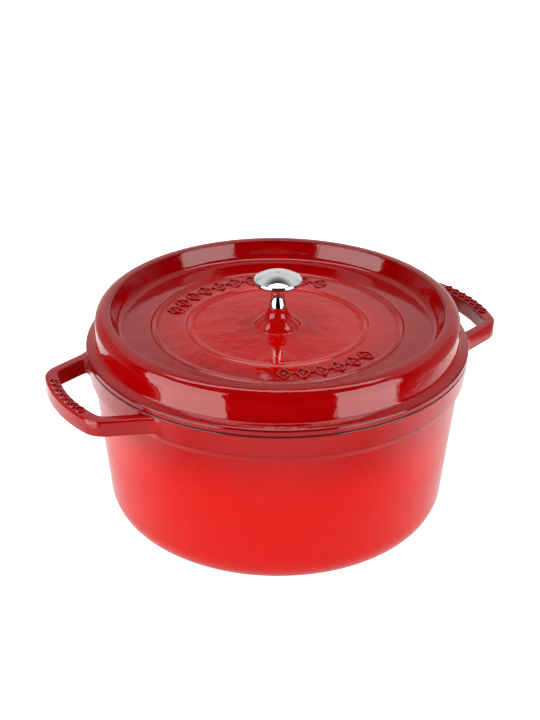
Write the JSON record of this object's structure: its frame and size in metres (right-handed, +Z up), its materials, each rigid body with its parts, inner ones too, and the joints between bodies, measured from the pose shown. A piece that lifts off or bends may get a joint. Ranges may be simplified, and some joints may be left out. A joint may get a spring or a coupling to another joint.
{
  "type": "cast iron dutch oven",
  "caption": "Round enamelled cast iron pot with two loop handles and a lift-off lid with a raised ring, a sunken floor and a metal mushroom knob.",
  "frame": {"origin": "middle of the foot ring's plane, under the pot's axis", "axes": "+Z up along the pot's axis, +X towards one handle"},
  "size_m": [0.3568, 0.286, 0.1936],
  "materials": {
    "pot_enamel": "glossy cherry red enamel outside, matte black enamel inside",
    "lid_enamel": "glossy cherry red enamel on top, matte black enamel underneath",
    "knob_chrome": "polished chrome plate",
    "screw_steel": "plain stainless steel",
    "washer_steel": "plain stainless steel",
    "lock_washer_steel": "spring steel"
  },
  "bodies": {
    "pot": {"pot": "pot_enamel"},
    "knob": {"knob": "knob_chrome", "knob_screw": "screw_steel", "knob_washer": "washer_steel", "knob_lock_washer": "lock_washer_steel"},
    "lid": {"lid": "lid_enamel"}
  },
  "joints": [
    {"name": "lid_lift", "type": "slide", "parent": "pot", "child": "knob", "axis": [0, 0, 1], "range_m": [0, 0.16]},
    {"name": "lid_turn", "type": "hinge", "parent": "knob", "child": "lid", "pos_m": [0, 0, 0.15], "axis": [0, 0, 1], "continuous": true}
  ]
}
